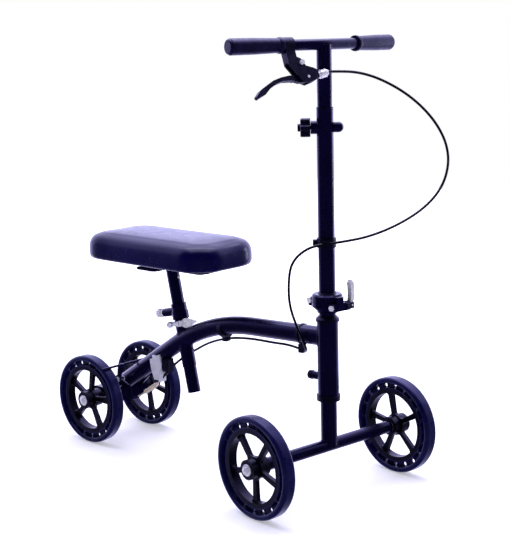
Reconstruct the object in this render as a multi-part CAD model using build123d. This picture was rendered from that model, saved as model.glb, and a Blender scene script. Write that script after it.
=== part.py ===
from build123d import *
import math
import os

# Knee scooter. Millimetres, +X forward, +Y to the rider's left, +Z up.
# It is laid out with the steering axis on x = 0 and the ground on z = 0, and moved at
# the end so that the origin is at the centre of the footprint, on the ground.

# Driving dimensions
WHEEL_R = 95.0
TYRE_W = 26.0
TYRE_IN_R = 72.0
TYRE_BAND_R = 84.0
TYRE_SHOULDER = 5.5
RIM_HALF = 9.0
WHEELBASE = 598.0
FRONT_TRACK = 182.0
REAR_TRACK = 83.0
HUB_HALF = 20.0
HUB_R = 18.5
AXLE_R = 4.0
RUN_CLEAR = 0.05
STEER_REST = -6.34
SPOKES = 5
TYRE_HOLES = 20
TYRE_HOLE_R = 4.3
TYRE_HOLE_AT = 79.5
BEARING_W = 7.0

HEAD_LOW = 194.0
HEAD_TOP = 334.0
HEAD_R = 19.7
HEAD_BORE = 17.2
STEERER_R = 15.3
NECK_R = 15.5
CUP_R = 22.0
CUP_H = 13.0
CUP_TOP_H = 9.5
BEARING_H = 6.0
BEARING_R = 19.5
LOW_SEAT = HEAD_LOW - 9.0
TOP_SEAT = HEAD_TOP + 1.5
LOCK_Z = 225.0
AXLE_TUBE_R = 12.0

HINGE_X = -28.0
HINGE_Z = 372.0
HINGE_R = 6.2
SKEWER_X = 29.0
SKEWER_Z = 364.0
SKEWER_R = 2.5
FLANGE_R = 28.4
FLANGE_TOP = 386.0
FLANGE_GAP = 0.2

POST_R = 15.3
POST_IN_R = 14.1
POST_TOP = 724.0
BUSH_H = 22.0
INNER_R = 13.6
INNER_IN_R = 11.6
INNER_LOW = 455.0
KNOB_Z = 689.5
KNOB_BOLT_R = 3.0
KNOB_TURN = -45.0
BAR_UP = 170.0
BAR_DOWN = 60.0
CLIP_Z = 480.5
CLIP_H = 17.0

BAR_Z = 836.0
BAR_R = 10.0
BAR_HALF = 200.0
BAR_SWEEP = 8.0
GRIP_IN = 90.0
GRIP_R = 14.5

MAIN_R = 18.0
MAIN_WALL = 2.0
MAIN_Z = 303.0
MAIN_SLOPE = 0.035
MAIN_BEND = 430.0
MAIN_CORNER = Vector(-310.5, 0, 292.1)
MAIN_END = Vector(-592.0, 0, 110.0)

SEAT_TILT = 12.155
SEAT_FOOT = Vector(-362.9, 0, 139.0)
SLEEVE_R = 14.5
SEAT_R = 13.3
SEAT_LOW = 133.5
SLEEVE_LOW = 187.0
SLEEVE_TOP = 300.0
COLLAR_R = 17.5
BAND_Z = 276.0
SCREW_Z = 300.0

PAD_X = -424.0
PAD_L = 365.0
PAD_W = 180.0
PAD_LOW = 404.0
PAD_TOP = 458.0
PAD_CORNER = 60.0
PAD_EDGE = 18.0
BOARD_H = 9.0
BOARD_INSET = 14.0
PLATE_T = 4.0

HOUSING_BACK = -618.0
HOUSING_FRONT = -574.0
HOUSING_HALF = 58.0
HOUSING_LOW = 80.0
HOUSING_TOP = 116.0
BRAKE_PIVOT = Vector(-550, 42, 137)
BRAKE_ROD_R = 2.5
BRAKE_GAP = 0.7
BRAKE_ANGLE = 51.5
PULL_LOW = Vector(-515, -22, 99)
PULL_TOP = Vector(-446, -22, 142.5)

CABLE_R = 2.5
CABLE_ROOM = 0.2
LEVER_TILT = 22.0

# The brake cable, from the lever to the rear brake. The first two routes are in the
# steering assembly's own straight-ahead frame, and the last two in the frame's.
CABLE_TOP_ROUTE = [
    (18, -8, 788.5),
    (19, 29, 788),
    (22, 69, 784),
    (31, 109, 772),
    (48, 150, 749),
    (67, 180, 721),
    (87, 200, 688),
    (102, 212, 650),
    (106, 214, 610),
    (101, 199, 567),
    (90, 161, 532),
    (74, 106, 506),
    (54, 55, 490),
    (34, 13, 484),
    (14.5, -13.8, 480.5),
]
CABLE_STEM_ROUTE = [
    (14.5, -13.8, 480.5),
    (2.5, -30.3, 478.35),
    (-14, -43, 469),
    (-37, -46, 451),
    (-53, -45, 427),
    (-58.5, -41.8, 402),
]
CABLE_FORK_ROUTE = [
    (-62.78, -35.07, 401.9),
    (-67.06, -31.9, 381),
    (-64, -30, 352),
    (-54, -26, 322),
    (-42, -23.5, 298),
    (-37, -20, 281),
    (-49.2, -3.3, 268.24),
    (-66, -2, 270.5),
]
CABLE_REAR_ROUTE = [
    (-66, -2, 270.5),
    (-92, 0, 274),
    (-136, 0, 271.8),
    (-186, 0, 271.5),
    (-230, 1, 267.5),
    (-268, 3, 260),
    (-304, 9, 249),
    (-340, 17, 235),
    (-376, 21, 216),
    (-408, 15, 197),
    (-430, -2, 173),
    (-441, -17, 152),
]


def upright(radius, low, top, x=0.0, y=0.0):
    """A cylinder along Z from low to top."""
    return Pos(x, y, (low + top) / 2) * Cylinder(radius, top - low)


def across(radius, y0, y1, x, z):
    """A cylinder along Y from y0 to y1."""
    return Pos(x, (y0 + y1) / 2, z) * Rot(90, 0, 0) * Cylinder(radius, y1 - y0)


def rod(start, end, radius):
    """A cylinder from one point to another."""
    start = Vector(*start) if isinstance(start, tuple) else start
    end = Vector(*end) if isinstance(end, tuple) else end
    way = end - start
    seat = Align.CENTER, Align.CENTER, Align.MIN
    return Plane(origin=start, z_dir=way) * Cylinder(radius, way.length, align=seat)


def block(x0, x1, y0, y1, z0, z1):
    """A box between two corners."""
    middle = Pos((x0 + x1) / 2, (y0 + y1) / 2, (z0 + z1) / 2)
    return middle * Box(x1 - x0, y1 - y0, z1 - z0)


def turned(points):
    """A solid of revolution about Z from (radius, height) points."""
    outline = Plane.XZ * make_face(Polyline(*points, close=True))
    return revolve(outline, axis=Axis.Z)


def slab(points, y0, y1):
    """A flat plate from (x, z) points, between two Y planes."""
    outline = make_face(Polyline(*points, close=True))
    plane = Plane(origin=(0, y0, 0), x_dir=(1, 0, 0), z_dir=(0, -1, 0))
    return extrude(plane * outline, amount=y0 - y1)


def hex_nut(size, height, bore):
    """A nut across flats, its base on z = 0 and its axis along Z."""
    flat = RegularPolygon(size / 2, 6, major_radius=False)
    body = extrude(flat, amount=height)
    seat = Align.CENTER, Align.CENTER, Align.MIN
    chamfered = body & Cone(size * 0.72, size * 0.42, height * 1.6, align=seat)
    return chamfered - Cylinder(bore, height * 3)


def steered(shape):
    """Turns a piece of the steering assembly to the rest angle."""
    return Rot(0, 0, STEER_REST) * shape


def seat_at(height):
    """The point of the seat tube's axis at a height."""
    shift = (height - SEAT_FOOT.Z) * math.tan(math.radians(SEAT_TILT))
    return Vector(SEAT_FOOT.X - shift, 0, height)


def seat_ring(outer, inner, low, top):
    """A ring around the seat tube's axis between two heights."""
    ring = rod(seat_at(low), seat_at(top), outer)
    return ring - rod(seat_at(low - 5), seat_at(top + 5), inner)


def seat_frame(height):
    """A frame at a height of the seat tube: Z along the tube, X forward."""
    tilt = math.radians(SEAT_TILT)
    along = (-math.sin(tilt), 0, math.cos(tilt))
    forward = (math.cos(tilt), 0, math.sin(tilt))
    return Plane(origin=seat_at(height), x_dir=forward, z_dir=along)


def cable_path(route):
    """Straight runs joined by arcs as large as the runs allow, and the arcs' radii."""
    points = [Vector(*point) for point in route]
    radii = []
    for before, here, after in zip(points, points[1:], points[2:]):
        run = min((here - before).length, (after - here).length)
        turn = (here - before).get_angle(after - here)
        radii.append(0.45 * run / math.tan(math.radians(turn / 2)))
    return FilletPolyline(*points, radius=radii), radii


def cable_tube(name, route):
    """The cable's casing along a route."""
    path, radii = cable_path(route)
    tube = sweep(Plane(origin=path @ 0, z_dir=path % 0) * Circle(CABLE_R), path=path)
    print(name, "radii", [round(radius) for radius in radii])
    expected = math.pi * CABLE_R**2 * path.length
    print(name, "length", round(path.length, 1), "volume share", round(tube.volume / expected, 4))
    return tube


def cable_room(route):
    """The space that a holder leaves for the cable."""
    path = cable_path(route)[0]
    return sweep(Plane(origin=path @ 0, z_dir=path % 0) * Circle(CABLE_R + CABLE_ROOM), path=path)


# Wheels


def tyre():
    """A solid tyre about Y: a rounded tread, a thin web with round holes, and a bead."""
    web_half = 2.0
    bead_r = TYRE_IN_R + 3.0
    tread = Rectangle(WHEEL_R - TYRE_BAND_R, TYRE_W)
    outer = tread.vertices().sort_by(Axis.X)[-2:]
    tread = fillet(outer, TYRE_SHOULDER)
    inner = tread.vertices().group_by(Axis.X)[0]
    tread = Pos((WHEEL_R + TYRE_BAND_R) / 2, 0) * fillet(inner, 3.5)
    web_r = TYRE_BAND_R + 3.0
    web = Pos((TYRE_IN_R + web_r) / 2, 0) * Rectangle(web_r - TYRE_IN_R, 2 * web_half)
    bead = Pos((TYRE_IN_R + bead_r) / 2, 0) * Rectangle(bead_r - TYRE_IN_R, 2 * RIM_HALF)
    ring = revolve(tread + web + bead, axis=Axis.Y)
    holes = Plane.XZ * (Sketch() + PolarLocations(TYRE_HOLE_AT, TYRE_HOLES) * Circle(TYRE_HOLE_R))
    return ring - extrude(holes, amount=TYRE_W, both=True)


def rim():
    """A moulded rim about Y with flared spokes and two bearing seats."""
    web_half = 4.0
    rim_in = 64.0
    hub_web = 21.0
    ring = across(TYRE_IN_R, -RIM_HALF, RIM_HALF, 0, 0)
    ring -= across(rim_in, -RIM_HALF - 1, RIM_HALF + 1, 0, 0)
    windows = Circle(rim_in + 0.2) - Circle(hub_web)
    spoke = Polygon((0, -3.5), (rim_in + 4, -6), (rim_in + 4, 6), (0, 3.5), align=None)
    windows -= PolarLocations(0, SPOKES) * spoke
    windows = fillet(windows.vertices(), 6)
    web = across(rim_in, -web_half, web_half, 0, 0)
    web -= extrude(Plane.XZ * windows, amount=web_half + 1, both=True)
    hub = across(HUB_R, -HUB_HALF, HUB_HALF, 0, 0)
    body = ring + web + hub
    body -= across(8, -HUB_HALF - 1, HUB_HALF + 1, 0, 0)
    for side in (-1, 1):
        seat = sorted((side * (HUB_HALF - BEARING_W), side * (HUB_HALF + 1)))
        body -= across(11, seat[0], seat[1], 0, 0)
    return body


def wheel_bearings():
    """The two ball bearings of a hub, about Y."""
    pair = []
    for side in (-1, 1):
        seat = sorted((side * (HUB_HALF - BEARING_W), side * HUB_HALF))
        ring = across(11, seat[0], seat[1], 0, 0)
        pair.append(ring - across(AXLE_R + RUN_CLEAR, seat[0] - 1, seat[1] + 1, 0, 0))
    return Compound(children=pair)


def axle_set(track, inner_end, spacer_r, nut_h):
    """An axle with its spacers, outer washers and domed nuts."""
    nut_face = track + HUB_HALF + 1.6
    pieces = [across(AXLE_R, -nut_face - 4, nut_face + 4, 0, WHEEL_R)]
    for side in (-1, 1):
        faces = sorted((side * (track + HUB_HALF + 0.1), side * nut_face))
        washer = across(11, faces[0], faces[1], 0, WHEEL_R)
        spacing = sorted((side * inner_end, side * (track - HUB_HALF - 0.2)))
        spacer = across(spacer_r, spacing[0], spacing[1], 0, WHEEL_R)
        hole = across(AXLE_R, -track * 2, track * 2, 0, WHEEL_R)
        dome = Pos(0, 0, nut_h - 4.2) * Sphere(7.4) & Pos(0, 0, nut_h) * Cylinder(7.4, 7)
        nut = hex_nut(13, nut_h, AXLE_R) + (dome & Pos(0, 0, nut_h + 3) * Cylinder(7.4, 6))
        nut = nut - Cylinder(AXLE_R, 8)
        nut = Pos(0, side * nut_face, WHEEL_R) * Rot(-90 * side, 0, 0) * nut
        pieces += [washer - hole, spacer - hole, nut]
    return Compound(children=pieces)


# Frame


def main_path():
    start = Vector(-10, 0, MAIN_Z - 10 * MAIN_SLOPE)
    return FilletPolyline(start, MAIN_CORNER, MAIN_END, radius=MAIN_BEND)


def backbone(radius):
    """A solid of the backbone's path at a radius."""
    path = main_path()
    return sweep(Plane(origin=path @ 0, z_dir=path % 0) * Circle(radius), path=path)


def main_tube():
    """The frame's backbone, coped to the head tube, the seat sleeve and the housing."""
    tube = backbone(MAIN_R) - backbone(MAIN_R - MAIN_WALL)
    tube -= upright(HEAD_R, HEAD_LOW, HEAD_TOP)
    tube -= rod(seat_at(120), seat_at(330), SLEEVE_R)
    tube -= block(HOUSING_BACK, HOUSING_FRONT, -HOUSING_HALF, HOUSING_HALF, 60, HOUSING_TOP)
    return tube.solids().sort_by(SortBy.VOLUME)[-1]


def head_tube():
    tube = upright(HEAD_R, HEAD_LOW, HEAD_TOP) - upright(HEAD_BORE, HEAD_LOW - 1, HEAD_TOP + 1)
    return tube - rod((-30, 0, LOCK_Z), (-12, 0, LOCK_Z), 4)


def headset_cups():
    """The two cups pressed into the head tube."""
    lip = STEERER_R + 0.8
    step = 10.6
    seat = LOW_SEAT
    low = turned([
        (lip, HEAD_LOW - CUP_H),
        (CUP_R - 4.4, HEAD_LOW - CUP_H),
        (CUP_R - 4.4, HEAD_LOW - step),
        (CUP_R, HEAD_LOW - step),
        (CUP_R, HEAD_LOW),
        (HEAD_BORE, HEAD_LOW),
        (HEAD_BORE, HEAD_LOW + 12),
        (lip, HEAD_LOW + 12),
        (lip, seat + BEARING_H),
        (BEARING_R, seat + BEARING_H),
        (BEARING_R, seat),
        (lip, seat),
    ])
    seat = TOP_SEAT
    top = turned([
        (lip, HEAD_TOP - 12),
        (HEAD_BORE, HEAD_TOP - 12),
        (HEAD_BORE, HEAD_TOP),
        (CUP_R, HEAD_TOP),
        (CUP_R, HEAD_TOP + 5),
        (CUP_R - 4.5, HEAD_TOP + CUP_TOP_H),
        (lip, HEAD_TOP + CUP_TOP_H),
        (lip, seat + BEARING_H),
        (BEARING_R, seat + BEARING_H),
        (BEARING_R, seat),
        (lip, seat),
    ])
    return Compound(children=[low, top])


def headset_bearings():
    rings = []
    for low in (LOW_SEAT, TOP_SEAT):
        ring = upright(BEARING_R, low, low + BEARING_H)
        rings.append(ring - upright(STEERER_R + RUN_CLEAR, low - 1, low + BEARING_H + 1))
    return Compound(children=rings)


def lock_housing():
    """The short barrel on the back of the head tube that guides the steering lock pin."""
    barrel = rod((-12, 0, LOCK_Z), (-36, 0, LOCK_Z), 7.5)
    barrel -= upright(HEAD_R, LOCK_Z - 25, LOCK_Z + 25)
    return barrel - rod((-10, 0, LOCK_Z), (-50, 0, LOCK_Z), 4.3)


def lock_pin():
    """The sprung pin with its pull knob."""
    pin = rod((-17, 0, LOCK_Z), (-41, 0, LOCK_Z), 4.0)
    knob = rod((-37, 0, LOCK_Z), (-46, 0, LOCK_Z), 8.5)
    knob = fillet(knob.edges().group_by(Axis.X)[0], 2.5)
    return pin + knob


def axle_housing():
    """The folded-steel box round the rear axle, with the plates of the brake pivots."""
    box = block(HOUSING_BACK, HOUSING_FRONT, -HOUSING_HALF, HOUSING_HALF, HOUSING_LOW, HOUSING_TOP)
    box = fillet(box.edges().filter_by(Axis.Y).group_by(Axis.Z)[-1], 8)
    wall = 3.0
    box -= block(
        HOUSING_BACK + wall,
        HOUSING_FRONT - wall,
        -HOUSING_HALF + wall,
        HOUSING_HALF - wall,
        HOUSING_LOW + wall,
        HOUSING_TOP - wall,
    )
    box -= across(AXLE_R, -80, 80, -WHEELBASE, WHEEL_R)
    for side in (-1, 1):
        y = side * BRAKE_PIVOT.Y
        near = y - side * 2
        far = y - side * 6
        plate = [
            (HOUSING_BACK + 14, HOUSING_TOP - 4),
            (HOUSING_FRONT, HOUSING_TOP - 16),
            (-541, 129),
            (-541, 143),
            (-556, 146),
            (HOUSING_BACK + 14, HOUSING_TOP + 6),
        ]
        ear = slab(plate, min(near, far), max(near, far))
        box += ear - across(3, y - 10, y + 10, BRAKE_PIVOT.X, BRAKE_PIVOT.Z)
    return box


def frame_bolts():
    """The two pivot bolts of the brake bar with their nuts, and the seat band's skewer."""
    bolts = []
    for side in (-1, 1):
        span = sorted((side * (BRAKE_PIVOT.Y - 11), side * (BRAKE_PIVOT.Y + 3)))
        shank = across(3, span[0], span[1], BRAKE_PIVOT.X, BRAKE_PIVOT.Z)
        head = sorted((side * (BRAKE_PIVOT.Y + 3), side * (BRAKE_PIVOT.Y + 7)))
        shank += across(5.5, head[0], head[1], BRAKE_PIVOT.X, BRAKE_PIVOT.Z)
        nut = Pos(BRAKE_PIVOT.X, side * (BRAKE_PIVOT.Y - 6), BRAKE_PIVOT.Z) * Rot(90 * side, 0, 0)
        bolts.append(shank)
        bolts.append(nut * hex_nut(10, 5, 3))
    return Compound(children=bolts + [seat_skewer()])


def brake_bar():
    """The cross rod that presses on both rear tyres, with its two rocking arms."""
    reach = WHEEL_R + BRAKE_ROD_R + BRAKE_GAP
    angle = math.radians(BRAKE_ANGLE)
    x = -WHEELBASE + reach * math.cos(angle)
    z = WHEEL_R + reach * math.sin(angle)
    edge = REAR_TRACK + TYRE_W / 2 + 3
    body = across(BRAKE_ROD_R, -edge, edge, x, z)
    for side in (-1, 1):
        y = side * (BRAKE_PIVOT.Y + 0.4)
        faces = sorted((y, y + side * 2.5))
        arm = [(x - 5, z + 2), (x + 5, z + 2), (-544, 137), (-550, 131), (-556, 137)]
        body += slab(arm, faces[0], faces[1])
        body += across(7, faces[0], faces[1], BRAKE_PIVOT.X, BRAKE_PIVOT.Z)
    y = -BRAKE_PIVOT.Y - 2.9
    lower = [(-553, 131), (-520, 118), (-519, 96), (-509, 96), (-509, 124), (-516, 131), (-548, 143)]
    body += slab(lower, y, y + 2.5)
    body += across(3, y, PULL_LOW.Y + 3, PULL_LOW.X, PULL_LOW.Z)
    for side in (-1, 1):
        hole = sorted((side * 36, side * 50))
        body -= across(3 + RUN_CLEAR, hole[0], hole[1], BRAKE_PIVOT.X, BRAKE_PIVOT.Z)
    return body


def brake_anchor():
    """The plated bracket under the backbone that stops the cable's casing."""
    hanger = slab([(-470, 190), (-440, 205), (-436, 186), (-438, 150), (-458, 148), (-466, 168)], -24, -21)
    web = block(-442, -438, -27, -8, 146, 172)
    hook = block(-462, -440, -24, -18, 166, 200)
    body = (hanger + web + hook) - backbone(MAIN_R) - cable_room(CABLE_REAR_ROUTE)
    return body.solids().sort_by(SortBy.VOLUME)[-1]


def pull_rod():
    """The ribbed return spring on its pull rod, from the anchor to the brake bar."""
    way = (PULL_TOP - PULL_LOW).normalized()
    core = rod(PULL_LOW + way * 3.4, PULL_TOP - way * 2.0, 1.8)
    spring_start = PULL_LOW + way * 30
    rings = 9
    pitch = 4.6
    for index in range(rings):
        start = spring_start + way * (index * pitch)
        core += rod(start, start + way * 2.6, 5.0)
    core += rod(spring_start, spring_start + way * (pitch * rings), 4.0)
    return core


def seat_sleeve():
    sleeve = rod(seat_at(SLEEVE_LOW), seat_at(SLEEVE_TOP), SLEEVE_R)
    return sleeve - rod(seat_at(SLEEVE_LOW - 10), seat_at(SLEEVE_TOP + 10), SEAT_R + RUN_CLEAR)


def seat_collar():
    """The clamp collar on top of the sleeve, with the boss of the locking screw."""
    collar = seat_ring(COLLAR_R, SLEEVE_R, 284, SLEEVE_TOP)
    collar += seat_ring(COLLAR_R - 1.5, SEAT_R + RUN_CLEAR, SLEEVE_TOP, 316)
    frame = seat_frame(SCREW_Z)
    boss = frame * Pos(-29, 0, 0) * Rot(0, 90, 0) * Cylinder(9, 34)
    boss -= rod(seat_at(280), seat_at(320), SLEEVE_R + 1)
    collar += boss
    collar -= frame * Pos(-40, 0, 0) * Rot(0, 90, 0) * Cylinder(3 + RUN_CLEAR, 54)
    return collar - rod(seat_at(270), seat_at(SLEEVE_TOP), SLEEVE_R)


def seat_knob():
    """The locking screw with its ribbed metal knob."""
    frame = seat_frame(SCREW_Z)
    screw = frame * Pos(-38.5, 0, 0) * Rot(0, 90, 0) * Cylinder(3, 47)
    flare = frame * Pos(-50, 0, 0) * Rot(0, 90, 0) * Cylinder(7.5, 6)
    grip = Circle(7.6)
    grip += PolarLocations(7.4, 8) * Circle(2)
    head = extrude(grip, amount=12)
    head = fillet(head.edges().group_by(Axis.Z)[0], 1)
    head = frame * Pos(-66, 0, 0) * Rot(0, 90, 0) * head
    return screw + flare + head


def seat_band():
    """The plated band clamp below the collar, with its two ears on the right side."""
    frame = seat_frame(BAND_Z)
    band = frame * Cylinder(SLEEVE_R + 2, 9)
    for x in (-8, 8):
        ear = frame * Pos(x, -SLEEVE_R - 5, 0) * Box(6, 14, 9)
        band += ear
    band -= frame * Pos(0, -SLEEVE_R - 4, 0) * Box(3, 16, 12)
    band -= frame * Pos(0, -SLEEVE_R - 6.5, 0) * Rot(0, 90, 0) * Cylinder(2.5, 60)
    return band - rod(seat_at(260), seat_at(290), SLEEVE_R)


def seat_skewer():
    """The band clamp's bolt, its nut and the cam's fork."""
    frame = seat_frame(BAND_Z)
    axis = frame * Pos(0, -SLEEVE_R - 6.5, 0) * Rot(0, 90, 0)
    bolt = axis * Pos(0, 0, -0.5) * Cylinder(2.5, 37)
    nut = axis * Pos(0, 0, -14) * Cylinder(6.5, 6)
    cam = axis * Pos(0, 0, 14.1) * Cylinder(6, 6)
    return bolt + nut + cam


def seat_lever():
    """The quick-release lever of the band clamp."""
    frame = seat_frame(BAND_Z)
    hub = frame * Pos(24.5, -SLEEVE_R - 6.5, 0) * Cylinder(6, 9)
    plate = [(24, -6), (34, -10), (44, -8), (66, 0), (67, 3), (46, 9), (34, 10), (24, 6)]
    blade = slab(plate, -1.6, 1.6)
    blade = frame * Pos(0, -SLEEVE_R - 6.5, 0) * blade
    return hub + blade


def cable_holders():
    """The tie behind the head tube, the clip along the backbone and the rear cable stop."""
    clear = backbone(MAIN_R)
    tie = block(-64.5, -59.5, -21, 21, 278, 325)
    tie &= rod((-70, 0, 300.6), (-50, 0, 301.2), MAIN_R + 1.6)
    tie += block(-67.5, -56.5, -7, 4, 264.5, 281.2)
    clip = rod((-262, 0, 284), (-272, 0, 280.9), MAIN_R + 1.6)
    clip += block(-272, -262, -4, 10, 255.5, 272)
    stop = block(-438, -420, -18, -2, 168, 196)
    rooms = cable_room(CABLE_REAR_ROUTE), cable_room(CABLE_FORK_ROUTE)
    holders = []
    for holder in (tie, clip, stop):
        body = holder - rooms[0] - rooms[1] - clear
        holders.append(body.solids().sort_by(SortBy.VOLUME)[-1])
    return Compound(children=holders)


# Fork


def steerer_tube():
    """The steerer with its neck, and the cross bore that the axle tube is welded into."""
    tube = upright(STEERER_R, WHEEL_R, HEAD_TOP + CUP_TOP_H)
    tube += upright(NECK_R, HEAD_TOP + CUP_TOP_H, 360)
    tube -= upright(NECK_R - 2.5, WHEEL_R - 1, 356)
    return tube - across(AXLE_TUBE_R, -40, 40, 0, WHEEL_R)


def front_axle_tube():
    half = FRONT_TRACK - HUB_HALF - 1.6
    tube = across(AXLE_TUBE_R, -half, half, 0, WHEEL_R)
    return tube - across(AXLE_R, -half - 1, half + 1, 0, WHEEL_R)


def lower_flange():
    """The fixed half of the folding joint: hinge lugs behind, skewer lugs in front."""
    top = HINGE_Z - FLANGE_GAP
    base = 352
    body = turned([(0, base), (NECK_R + 2, base), (FLANGE_R, base + 10), (FLANGE_R, top), (0, top)])
    for side in (-1, 1):
        lug = sorted((side * 6, side * 16))
        body += across(HINGE_R, lug[0], lug[1], HINGE_X, HINGE_Z)
        body += block(-34, -14, lug[0], lug[1], base + 9, top)
        front = sorted((side * 8.2, side * 15.2))
        body += block(12, SKEWER_X + 6, front[0], front[1], base + 5, top)
    body -= block(19.4, 60, -8.2, 8.2, base - 10, top + 1)
    body -= across(HINGE_R + 0.5, -6, 6, HINGE_X, HINGE_Z)
    body -= across(3, -40, 40, HINGE_X, HINGE_Z)
    pocket_r = 6.4
    body -= across(pocket_r, -40, -16, HINGE_X, HINGE_Z)
    body -= across(pocket_r, 16, 40, HINGE_X, HINGE_Z)
    body -= across(pocket_r, -40, -15.2, SKEWER_X, SKEWER_Z)
    body -= across(SKEWER_R, -40, 40, SKEWER_X, SKEWER_Z)
    body -= across(9.8, 15.2, 40, SKEWER_X, SKEWER_Z)
    return body - upright(NECK_R, base - 10, 360)


def fold_bolts():
    """The hinge bolt with its nut, and the quick-release skewer with its nut."""
    hinge = across(3, -21, 16, HINGE_X, HINGE_Z) + across(5.5, 16, 20, HINGE_X, HINGE_Z)
    hinge_nut = Pos(HINGE_X, -16, HINGE_Z) * Rot(90, 0, 0) * hex_nut(10, 5, 3)
    skewer = across(SKEWER_R, -20, 15.9, SKEWER_X, SKEWER_Z)
    skewer_nut = Pos(SKEWER_X, -15.2, SKEWER_Z) * Rot(90, 0, 0) * hex_nut(9, 5, SKEWER_R)
    return Compound(children=[hinge, hinge_nut, skewer, skewer_nut])


def cam_body():
    """The knurled cam housing at the end of the skewer."""
    ring = Circle(8.2) + PolarLocations(8, 12) * Circle(1.1)
    body = extrude(ring, amount=10)
    body = Pos(SKEWER_X, 16, SKEWER_Z) * Rot(-90, 0, 0) * body
    fork = block(SKEWER_X - 6, SKEWER_X + 6, 24, 35, SKEWER_Z - 6, SKEWER_Z + 5)
    body += fork
    body -= block(SKEWER_X - 3.3, SKEWER_X + 3.3, 26.3, 40, SKEWER_Z - 20, SKEWER_Z + 20)
    return body - Pos(SKEWER_X, 31, SKEWER_Z) * Rot(0, 90, 0) * Cylinder(2, 30)


def cam_lever():
    """The chrome folding lever, closed upright beside the post."""
    eye = Pos(SKEWER_X, 31, SKEWER_Z) * Rot(0, 90, 0) * Cylinder(4.4, 6)
    pin = Pos(SKEWER_X, 31, SKEWER_Z) * Rot(0, 90, 0) * Cylinder(2 - RUN_CLEAR, 12)
    outline = [(27, 365), (35, 365), (37, 386), (36, 404), (31, 411), (27, 405), (29, 386)]
    face = Plane.YZ * make_face(Polyline(*outline, close=True))
    blade = Pos(SKEWER_X, 0, 0) * extrude(face, amount=5.0, both=True)
    root_top = SKEWER_Z + 7.5
    blade -= block(SKEWER_X - 20, SKEWER_X - 3, 20, 45, root_top - 17, root_top)
    blade -= block(SKEWER_X + 3, SKEWER_X + 20, 20, 45, root_top - 17, root_top)
    return eye + pin + blade


# Stem


def upper_flange():
    """The folding half of the joint: knuckle behind, slotted tongue in front."""
    low = HINGE_Z + FLANGE_GAP
    shoulder = FLANGE_TOP - 3
    rim_r = FLANGE_R - 3
    body = turned([(0, low), (FLANGE_R, low), (FLANGE_R, shoulder), (rim_r, FLANGE_TOP), (0, FLANGE_TOP)])
    body -= across(HINGE_R + 0.5, -40, 40, HINGE_X, HINGE_Z)
    body += block(HINGE_X, -18, -5.6, 5.6, low, low + HINGE_R - 0.2)
    body += across(HINGE_R, -5.6, 5.6, HINGE_X, HINGE_Z)
    body += block(20, SKEWER_X + 6.5, -7.4, 7.4, SKEWER_Z - 7, shoulder)
    slot = [(24.6, 349), (33.6, 349), (31.9, 365), (30.5, 367), (27.5, 367), (26.0, 365)]
    body -= slab(slot, -20, 20)
    return body - across(3 + RUN_CLEAR, -30, 30, HINGE_X, HINGE_Z)


def outer_post():
    """The outer post with the threaded boss of the height clamp."""
    post = upright(POST_R, FLANGE_TOP, POST_TOP)
    post += clamp_turned(across(12, -25.5, 0, 0, KNOB_Z))
    post -= upright(POST_IN_R, FLANGE_TOP - 1, POST_TOP - BUSH_H)
    post -= upright(POST_IN_R + 0.5, POST_TOP - BUSH_H, POST_TOP + 1)
    return post - clamp_turned(across(KNOB_BOLT_R + RUN_CLEAR, -60, 60, 0, KNOB_Z))


def post_bushing():
    """The plastic sleeve in the mouth of the outer post."""
    sleeve = upright(POST_IN_R + 0.5, POST_TOP - BUSH_H, POST_TOP)
    sleeve += upright(POST_R, POST_TOP, POST_TOP + 1.5)
    return sleeve - upright(INNER_R + RUN_CLEAR, POST_TOP - BUSH_H - 1, POST_TOP + 3)


def post_clip():
    """The ring on the outer post with a saddle for the cable and a screw ear."""
    low = CLIP_Z - CLIP_H / 2
    ring = upright(POST_R + 2.6, low, low + CLIP_H)
    ring += Rot(0, 0, -133.7) * block(12, 25, -5, 5, low + 2, low + CLIP_H - 3)
    ring += Rot(0, 0, -43.6) * block(12, 24, -7, 7, low + 3, low + CLIP_H - 3)
    ring -= cable_room(CABLE_TOP_ROUTE) + cable_room(CABLE_STEM_ROUTE)
    return ring - upright(POST_R, low - 1, low + CLIP_H + 1)


def dome_nut():
    """The domed nut at the far end of the height clamp's bolt."""
    radius = 9.4
    dome_y = 24
    dome = Pos(0, dome_y, KNOB_Z) * Sphere(radius)
    dome &= block(-20, 20, dome_y, 40, KNOB_Z - 20, KNOB_Z + 20)
    body = dome + across(radius, POST_R - 0.1, dome_y, 0, KNOB_Z)
    body -= upright(POST_R, KNOB_Z - 20, KNOB_Z + 20)
    return clamp_turned(body - across(KNOB_BOLT_R + RUN_CLEAR, 0, 28, 0, KNOB_Z))


# Height clamp


def clamp_turned(shape):
    """Turns a piece built along Y to the height clamp's own axis."""
    return Rot(0, 0, KNOB_TURN) * shape


def star_knob():
    """The lobed clamp knob, moulded on to its stud."""
    lobes = Circle(13.5) + PolarLocations(13, 6) * Circle(5.2)
    head = extrude(lobes, amount=17.5)
    head = fillet(head.edges().group_by(Axis.Z)[-1], 2)
    head = Pos(0, -26.5, KNOB_Z) * Rot(90, 0, 0) * head
    head += across(7, -49, -44, 0, KNOB_Z)
    return clamp_turned(head + across(KNOB_BOLT_R, -40, 26, 0, KNOB_Z))


# Handlebar


def bar_half(side, start, end, radius):
    """A cylinder along one half of the swept-back handlebar."""
    sweep_back = math.radians(BAR_SWEEP)
    way = Vector(-math.sin(sweep_back), side * math.cos(sweep_back), 0)
    middle = Vector(0, 0, BAR_Z)
    return rod(middle + way * start, middle + way * end, radius)


def bar_frame(side):
    """A frame on one half of the handlebar: Z out along the bar, X down."""
    sweep_back = math.radians(BAR_SWEEP)
    way = (-math.sin(sweep_back), side * math.cos(sweep_back), 0)
    return Plane(origin=(0, 0, BAR_Z), x_dir=(0, 0, -1), z_dir=way)


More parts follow.
